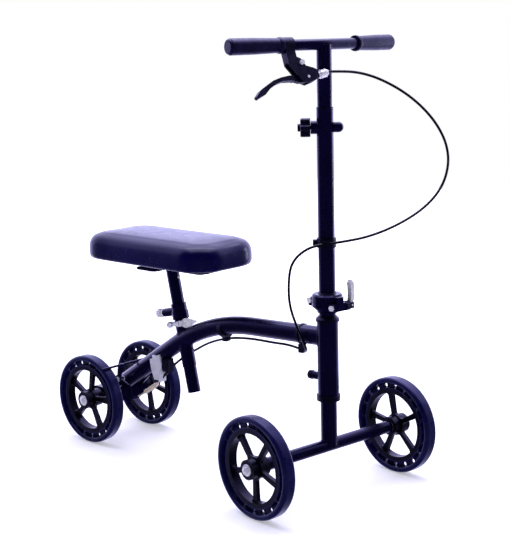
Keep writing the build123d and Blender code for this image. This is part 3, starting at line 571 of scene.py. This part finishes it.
def subdivide(piece):
    """Divides the cover's faces once."""
    modifier = piece.modifiers.new("finer", "SUBSURF")
    modifier.levels = 1
    modifier.render_levels = 1
    depsgraph = bpy.context.evaluated_depsgraph_get()
    finer = bpy.data.meshes.new_from_object(piece.evaluated_get(depsgraph))
    piece.modifiers.clear()
    piece.data = finer


def knee_pad():
    """The cushion's cover."""
    piece = bpy.data.objects.new("knee_pad_cover", pad_form())
    bpy.context.scene.collection.objects.link(piece)
    remesh(piece)
    inflate(piece)
    subdivide(piece)
    smooth(piece.data)
    piece.data.materials.clear()
    piece.data.materials.append(FINISHES["pad_cover"].material)
    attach(piece, "seat")
    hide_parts("knee_pad")


knee_pad()


# Weld beads

# The tubes' skins, in the frame's own place: x from the steering axis, z from the ground.
HEAD_R = 19.7 * MM
MAIN_R = 18.0 * MM
MAIN_BEND = 430.0 * MM
BEND_CENTRE = Vector((-0.1767, 0, -0.1334))
BEND_START = -0.1917
BEND_END = -0.4103
MAIN_START = Vector((0, 0, 0.303))
MAIN_WAY = Vector((-1, 0, -0.035)).normalized()
MAIN_FOOT = Vector((-0.592, 0, 0.110))
FOOT_WAY = Vector((-0.2815, 0, -0.1821)).normalized()
HOUSING_FRONT = -0.574
HOUSING_TOP = 0.116
SLEEVE_R = 14.5 * MM
SEAT_FOOT = Vector((-0.3629, 0, 0.139))
SEAT_WAY = Vector((-math.sin(math.radians(12.155)), 0, math.cos(math.radians(12.155))))
STEERER_R = 15.3 * MM
AXLE_TUBE_R = 12.0 * MM
AXLE_Z = 95.0 * MM
INNER_R = 13.6 * MM
BAR_R = 10.0 * MM
BAR_Z = 836.0 * MM

# Where each bead's tube is followed from, and how far it is followed until it is inside the other skin.
HEAD_WELD_FROM = (-0.060, 0, 0.3009)
HEAD_WELD_WAY = (1, 0, 0.035)
SLEEVE_TOP_AT = 0.160
SLEEVE_LOW_AT = 0.048
HOUSING_WELD_BACK = 0.085
CROSS_WELD_FROM = 0.05
REACH = 0.05
SLEEVE_LOW_REACH = 0.06
HOUSING_REACH = 0.08
NECK_WELD_R = 17.4 * MM
NECK_WELD_Z = 0.352
POST_WELD_R = 15.6 * MM
POST_WELD_Z = 0.386

# A bead's own shape: its radius swells a little with each ripple and wanders along the way.
BEAD_R = 1.7 * MM
AXLE_BEAD_R = 1.5 * MM
BAR_BEAD_R = 1.3 * MM
BEAD_STEP = 0.0007
BEAD_LEAST_STEPS = 12
BEAD_SIDES = 8
RIPPLE_LENGTH = 0.00055
RIPPLE_SHARE = 0.12
WANDER_SCALE = 90
WANDER_SHARE = 0.16

# How finely the beads' lines are found. A way more upright than the limit takes its sides from the Y axis.
JUNCTION_POINTS = 72
JUNCTION_HALVINGS = 24
RING_POINTS = 90
UPRIGHT_LIMIT = 0.9


def from_line(point, start, way):
    """A point's distance from a line."""
    return (point - start).cross(way).length


def from_backbone(point):
    """A point's distance from the skin of the bent main tube."""
    if point.x > BEND_START:
        return from_line(point, MAIN_START, MAIN_WAY) - MAIN_R
    if point.x < BEND_END:
        return from_line(point, MAIN_FOOT, FOOT_WAY) - MAIN_R
    flat = math.hypot(point.x - BEND_CENTRE.x, point.z - BEND_CENTRE.z) - MAIN_BEND
    return math.hypot(flat, point.y) - MAIN_R


def from_upright(radius):
    """A function for a point's distance from the skin of an upright tube on the steering axis."""
    return lambda point: math.hypot(point.x, point.y) - radius


def from_housing(point):
    """A point's distance outside the front and top of the axle housing."""
    return max(point.x - HOUSING_FRONT, point.z - HOUSING_TOP)


def junction(start, way, radius, reach, skin, turns=(0.0, 1.0)):
    """Points where a tube, followed from its start, meets a skin, over a part of the tube's round."""
    way = Vector(way).normalized()
    reference = Vector((0, 0, 1)) if abs(way.z) < UPRIGHT_LIMIT else Vector((0, 1, 0))
    side = way.cross(reference).normalized()
    across = way.cross(side)
    points = []
    for step in range(JUNCTION_POINTS):
        angle = 2 * math.pi * (turns[0] + (turns[1] - turns[0]) * step / (JUNCTION_POINTS - 1))
        base = Vector(start) + (side * math.cos(angle) + across * math.sin(angle)) * radius
        outside, inside = 0.0, reach
        for _ in range(JUNCTION_HALVINGS):
            half = (outside + inside) / 2
            if skin(base + way * half) > 0:
                outside = half
            else:
                inside = half
        points.append(base + way * outside)
    return points


def bead(points, place, closed, radius=BEAD_R):
    """A rippled bead through points."""
    if closed:
        points = points[:-1]
    lengths = [0.0]
    for before, after in zip(points, points[1:]):
        lengths.append(lengths[-1] + (after - before).length)
    count = max(BEAD_LEAST_STEPS, int(lengths[-1] / BEAD_STEP))
    even, radii = [], []
    for index in range(count):
        target = lengths[-1] * index / (count - 1)
        near = int(np.searchsorted(lengths, target, side="right")) - 1
        near = min(near, len(points) - 2)
        span = max(lengths[near + 1] - lengths[near], NO_LENGTH)
        even.append(place @ points[near].lerp(points[near + 1], (target - lengths[near]) / span))
        ripple = RIPPLE_SHARE * math.sin(target / RIPPLE_LENGTH)
        wander = noise.noise(even[-1] * WANDER_SCALE)
        radii.append(radius * (1 + ripple + WANDER_SHARE * wander))
    return tube_rings(even, radii, BEAD_SIDES, closed)


def ring_points(radius, height):
    """Points round the steering axis, the last on the first."""
    points = []
    for step in range(RING_POINTS):
        angle = 2 * math.pi * step / (RING_POINTS - 1)
        points.append(Vector((radius * math.cos(angle), radius * math.sin(angle), height)))
    return points


def frame_welds():
    """The beads of the main tube, the seat sleeve and the rear housing."""
    sleeve_top = SEAT_FOOT + SEAT_WAY * SLEEVE_TOP_AT
    sleeve_low = SEAT_FOOT + SEAT_WAY * SLEEVE_LOW_AT
    housing = MAIN_FOOT - FOOT_WAY * HOUSING_WELD_BACK
    rounds = [
        junction(HEAD_WELD_FROM, HEAD_WELD_WAY, MAIN_R, REACH, from_upright(HEAD_R)),
        junction(sleeve_top, -SEAT_WAY, SLEEVE_R, REACH, from_backbone),
        junction(sleeve_low, SEAT_WAY, SLEEVE_R, SLEEVE_LOW_REACH, from_backbone),
        junction(housing, FOOT_WAY, MAIN_R, HOUSING_REACH, from_housing),
    ]
    beads = [bead(points, FRAME_PLACE, True) for points in rounds]
    add_piece("frame_welds", mesh_of("frame_welds", beads), "frame_paint", "frame")


def cross_beads(radius, height, post_radius, turns, bead_radius):
    """The two beads of a cross tube on an upright one of the steering."""
    beads = []
    for side in (-1, 1):
        start = (0, side * CROSS_WELD_FROM, height)
        points = junction(start, (0, -side, 0), radius, REACH, from_upright(post_radius), turns)
        beads.append(bead(points, STEER_PLACE, False, bead_radius))
    return beads


def fork_welds():
    """The beads of the axle tube on the steerer, and of the neck under the flange."""
    beads = [bead(ring_points(NECK_WELD_R, NECK_WELD_Z), STEER_PLACE, True)]
    beads += cross_beads(AXLE_TUBE_R, AXLE_Z, STEERER_R, (0.0, -0.5), AXLE_BEAD_R)
    add_piece("fork_welds", mesh_of("fork_welds", beads), "frame_paint", "fork")


def post_welds():
    """The bead at the foot of the outer post and the beads of the bar on the inner post."""
    foot = [bead(ring_points(POST_WELD_R, POST_WELD_Z), STEER_PLACE, True)]
    add_piece("stem_weld", mesh_of("stem_weld", foot), "frame_paint", "stem")
    beads = cross_beads(BAR_R, BAR_Z, INNER_R, (0.0, 0.5), BAR_BEAD_R)
    add_piece("bar_welds", mesh_of("bar_welds", beads), "frame_paint", "handlebar")


frame_welds()
fork_welds()
post_welds()


# Turned pieces


def turned_rings(profile, centre, way, sides):
    """Vertices and faces of a turned form, from (along, radius) points in millimetres."""
    line = [FRAME_PLACE @ (Vector(centre) + way * along * MM) for along, _ in profile]
    return tube_rings(line, [radius * MM for _, radius in profile], sides)


# Pull rod and its return spring

PULL_LOW = Vector((-0.515, -0.022, 0.099))
PULL_TOP = Vector((-0.446, -0.022, 0.1425))

# The gaps between the rod's ends and the points that it runs between.
PULL_LOW_GAP = 0.0034
PULL_TOP_GAP = 0.002
PULL_SIDES = 16

# The spring starts this far along from the low point.
SPRING_AT = 0.030
SPRING_LENGTH = 0.041
SPRING_R = 4.0 * MM
SPRING_COILS = 13
SPRING_WIRE_R = 0.95 * MM
SPRING_WIRE_SIDES = 8
COIL_STEPS = 20


def spring_helix(way):
    """The line of the spring's wire."""
    side = way.orthogonal().normalized()
    across = way.cross(side)
    first = PULL_LOW + way * SPRING_AT
    steps = SPRING_COILS * COIL_STEPS
    helix = []
    for step in range(steps + 1):
        angle = 2 * math.pi * SPRING_COILS * step / steps
        centre = first + way * (SPRING_LENGTH * step / steps)
        offset = (side * math.cos(angle) + across * math.sin(angle)) * SPRING_R
        helix.append(FRAME_PLACE @ (centre + offset))
    return helix


def pull_spring():
    """The pull rod with its washer and its upper collar, and the coil spring round it."""
    way = (PULL_TOP - PULL_LOW).normalized()
    helix = spring_helix(way)
    low, high = PULL_LOW + way * PULL_LOW_GAP, PULL_TOP - way * PULL_TOP_GAP
    span = (high - low).length / MM
    profile = [(0.0, 1.2), (1.2, 1.8), (26.0, 1.8), (26.2, 4.4), (27.4, 4.4), (27.6, 1.8)]
    profile += [(span - 6.0, 1.8), (span - 5.8, 3.2), (span - 2.0, 3.2), (span, 1.4)]
    parts = [
        tube_rings(helix, [SPRING_WIRE_R] * len(helix), SPRING_WIRE_SIDES),
        turned_rings(profile, low, way, PULL_SIDES),
    ]
    piece = add_piece("pull_rod_spring", mesh_of("pull_rod_spring", parts), "spring_steel", "pull_rod")
    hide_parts("pull_rod")


pull_spring()


# Seat button

BUTTON_AT = 0.2346
BUTTON_WAY = Vector((0.95, 0.25, 0.2)).normalized()
BUTTON_PROFILE = [(10.5, 4.2), (13.5, 4.2), (13.9, 4.0), (13.9, 3.0), (15.2, 2.9), (16.0, 2.2), (16.3, 1.0)]
BUTTON_SIDES = 24


def seat_button():
    """The spring button in the front of the seat post."""
    centre = SEAT_FOOT + SEAT_WAY * BUTTON_AT
    rings = turned_rings(BUTTON_PROFILE, centre, BUTTON_WAY, BUTTON_SIDES)
    add_piece("seat_button", mesh_of("seat_button", [rings]), "zinc_steel", "seat")


seat_button()


# Studio

CAMERA_PLACE = Vector((1.7425, -1.7350, 0.8526))
CAMERA_HEADING = math.radians(133.43)
CAMERA_DOWN = math.radians(10.58)
CAMERA_ROLL = math.radians(-1.38)
CAMERA_LENS = 83.43
CAMERA_NEAR = 0.05

# The floor glows more strongly with the distance from its middle, up to the white of the background.
FLOOR_HALF = 4.0
GLOW_FROM = 0.7
GLOW_TO = 1.7
GLOW_LOW = 0.4
GLOW_HIGH = 1.15

ROOM_COLOUR = (0.012, 0.01, 0.022, 1)
BACKDROP_COLOUR = (1.6, 1.57, 2.5, 1)
BACKDROP_RISE = 0.25
BACKDROP_FROM = -0.1
BACKDROP_TO = 0.85


def add_camera():
    """The camera, in front of the scooter and to its right."""
    camera = bpy.data.objects.new("camera", bpy.data.cameras.new("camera"))
    bpy.context.scene.collection.objects.link(camera)
    turn = Matrix.Rotation(CAMERA_HEADING - math.pi / 2, 4, "Z")
    turn = turn @ Matrix.Rotation(math.pi / 2 - CAMERA_DOWN, 4, "X")
    turn = turn @ Matrix.Rotation(CAMERA_ROLL, 4, "Z")
    camera.matrix_world = Matrix.Translation(CAMERA_PLACE) @ turn
    camera.data.lens = CAMERA_LENS
    camera.data.clip_start = CAMERA_NEAR
    bpy.context.scene.camera = camera


def add_floor():
    """A pale floor with its far edge out of sight."""
    mesh = bpy.data.meshes.new("floor")
    corners = [(x * FLOOR_HALF, y * FLOOR_HALF, 0) for x, y in ((-1, -1), (1, -1), (1, 1), (-1, 1))]
    mesh.from_pydata(corners, [], [(0, 1, 2, 3)])
    floor = bpy.data.objects.new("floor", mesh)
    bpy.context.scene.collection.objects.link(floor)
    finish = Finish("floor", (0.9, 0.9, 0.93), 0.8)
    finish.set(Specular_IOR_Level=0.0, Emission_Color=(1, 1, 1, 1))
    away = finish.nodes.new("ShaderNodeVectorMath")
    away.operation = "LENGTH"
    finish.links.new(finish.place, away.inputs[0])
    glow = finish.ramp(away.outputs["Value"], GLOW_FROM, GLOW_TO, GLOW_LOW, GLOW_HIGH)
    finish.links.new(glow, finish.shader.inputs["Emission Strength"])
    floor.visible_glossy = False
    mesh.materials.append(finish.material)


def add_softbox(name, place, target, width, height, power, colour):
    """A rectangular lamp that faces its target."""
    light = bpy.data.lights.new(name, "AREA")
    light.shape = "RECTANGLE"
    light.size = width
    light.size_y = height
    light.energy = power
    light.color = colour
    lamp = bpy.data.objects.new(name, light)
    bpy.context.scene.collection.objects.link(lamp)
    lamp.location = place
    lamp.rotation_euler = (Vector(target) - Vector(place)).to_track_quat("-Z", "Y").to_euler()


def add_world():
    """A bright backdrop on the far side and a dim room on the camera's, seen as plain white."""
    world = bpy.data.worlds.new("studio")
    bpy.context.scene.world = world
    world.use_nodes = True
    nodes, links = world.node_tree.nodes, world.node_tree.links
    room = nodes["Background"]
    output = nodes["World Output"]
    place = nodes.new("ShaderNodeTexCoord")
    facing = nodes.new("ShaderNodeVectorMath")
    facing.operation = "DOT_PRODUCT"
    far_side = (math.cos(CAMERA_HEADING), math.sin(CAMERA_HEADING), BACKDROP_RISE)
    facing.inputs[1].default_value = far_side
    links.new(place.outputs["Generated"], facing.inputs[0])
    share = nodes.new("ShaderNodeMapRange")
    share.interpolation_type = "SMOOTHSTEP"
    set_value(share, "From Min", BACKDROP_FROM)
    set_value(share, "From Max", BACKDROP_TO)
    links.new(facing.outputs["Value"], share.inputs["Value"])
    shade = nodes.new("ShaderNodeMix")
    shade.data_type = "RGBA"
    shade.inputs["A"].default_value = ROOM_COLOUR
    shade.inputs["B"].default_value = BACKDROP_COLOUR
    links.new(share.outputs["Result"], shade.inputs["Factor"])
    links.new(shade.outputs["Result"], room.inputs["Color"])
    white = nodes.new("ShaderNodeBackground")
    set_value(white, "Color", (1, 1, 1, 1))
    seen = nodes.new("ShaderNodeLightPath")
    chosen = nodes.new("ShaderNodeMixShader")
    links.new(seen.outputs["Is Camera Ray"], chosen.inputs["Fac"])
    links.new(room.outputs["Background"], chosen.inputs[1])
    links.new(white.outputs["Background"], chosen.inputs[2])
    links.new(chosen.outputs["Shader"], output.inputs["Surface"])


bpy.context.scene.view_settings.view_transform = "Standard"
add_camera()
add_floor()
add_softbox(
    "overhead",
    place=(-0.2, 0.2, 2.3),
    target=(0, 0, 0.3),
    width=2.4,
    height=2.0,
    power=48,
    colour=(0.9, 0.89, 1.0),
)
add_softbox(
    "strip",
    place=(0.9, 1.9, 0.7),
    target=(0.1, 0, 0.4),
    width=0.3,
    height=1.2,
    power=8,
    colour=(0.85, 0.84, 1.0),
)
add_world()
